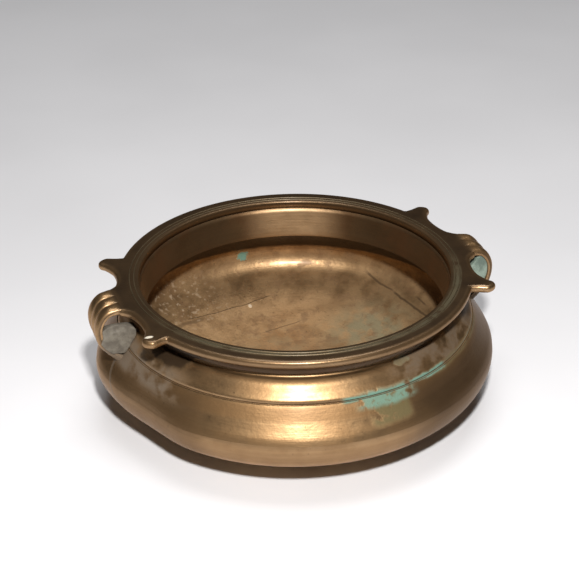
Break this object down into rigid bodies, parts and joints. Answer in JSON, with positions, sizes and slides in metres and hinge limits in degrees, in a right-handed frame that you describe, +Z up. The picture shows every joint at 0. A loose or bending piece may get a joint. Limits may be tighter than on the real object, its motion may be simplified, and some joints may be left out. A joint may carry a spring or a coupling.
{
  "type": "incense burner",
  "caption": "Squat round bronze bowl with a flat horned rim, ribbed loop handles with filled eyes, and an open mouth for ash and incense.",
  "frame": {"origin": "centre of the flat base, on the surface the bowl stands on", "axes": "+Z up through the mouth, +X from the left handle to the right handle"},
  "size_m": [0.1417, 0.1364, 0.0472],
  "materials": {
    "bronze_belly": "satin, worn brown patina with verdigris along the seam",
    "bronze_shoulder": "satin, worn brown patina with verdigris along the seam",
    "bronze_collar": "satin, brown patina",
    "bronze_rim": "smooth dark patina, rubbed bright at the edges",
    "bronze_loops": "rubbed tan crests, dark valleys",
    "grey_filling": "dull, fine grained",
    "verdigris_filling": "dull, crusted, streaked"
  },
  "bodies": {
    "root": {"belly_shell": "bronze_belly", "shoulder_shell": "bronze_shoulder", "neck_collar": "bronze_collar", "rim_flange": "bronze_rim", "loop_left": "bronze_loops", "loop_right": "bronze_loops", "plug_left": "grey_filling", "plug_right": "verdigris_filling"}
  },
  "joints": []
}
